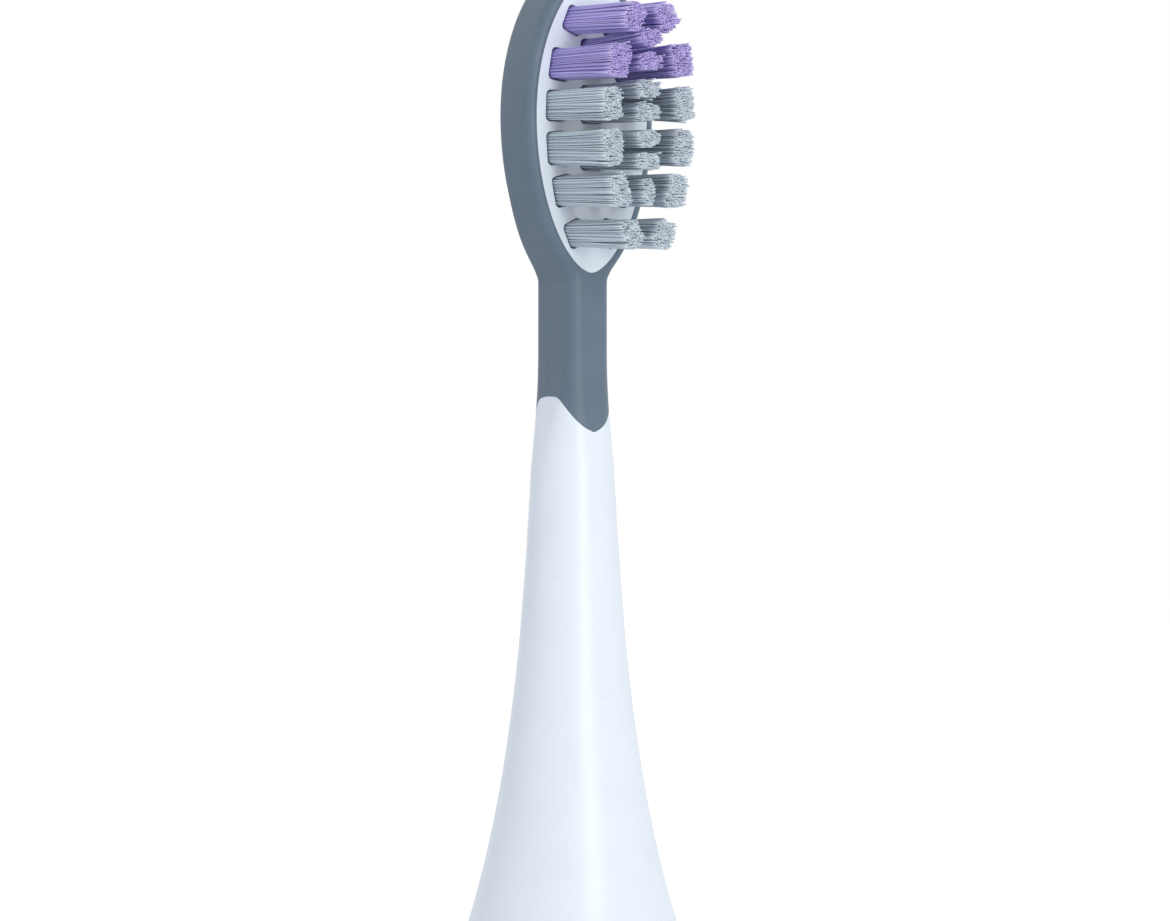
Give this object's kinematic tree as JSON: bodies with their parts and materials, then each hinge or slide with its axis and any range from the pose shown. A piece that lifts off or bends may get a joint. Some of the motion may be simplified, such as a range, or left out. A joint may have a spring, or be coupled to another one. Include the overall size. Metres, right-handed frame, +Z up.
{
  "type": "electric toothbrush head",
  "caption": "Replacement head for a sonic toothbrush: flared hollow stem with a drive socket, soft-skinned neck, and an oval head with bristle tufts.",
  "frame": {"origin": "middle of the flat rim of the base, on the axis of the drive shaft", "axes": "+Z up the stem towards the head, -Y the way the bristles point, X side to side"},
  "size_m": [0.0204, 0.0233, 0.0907],
  "materials": {
    "white_plastic": "satin moulded polypropylene",
    "soft_grey": "matte thermoplastic elastomer",
    "socket_plastic": "moulded acetal",
    "steel": "cold rolled stainless strip",
    "bristle_grey": "nylon filament",
    "bristle_purple": "nylon filament"
  },
  "bodies": {
    "root": {"head_body": "white_plastic", "soft_skin": "soft_grey", "shaft_socket": "socket_plastic", "socket_spring": "steel", "tuft_anchors": "steel", "tuft_left_1": "bristle_purple", "tuft_left_2": "bristle_purple", "tuft_left_3": "bristle_grey", "tuft_left_4": "bristle_grey", "tuft_left_5": "bristle_grey", "tuft_left_6": "bristle_grey", "tuft_right_1": "bristle_purple", "tuft_right_2": "bristle_purple", "tuft_right_3": "bristle_grey", "tuft_right_4": "bristle_grey", "tuft_right_5": "bristle_grey", "tuft_right_6": "bristle_grey", "tuft_middle_1": "bristle_purple", "tuft_middle_2": "bristle_purple", "tuft_middle_3": "bristle_grey", "tuft_middle_4": "bristle_grey", "tuft_middle_5": "bristle_grey", "tuft_middle_6": "bristle_grey", "tuft_middle_7": "bristle_grey"}
  },
  "joints": []
}
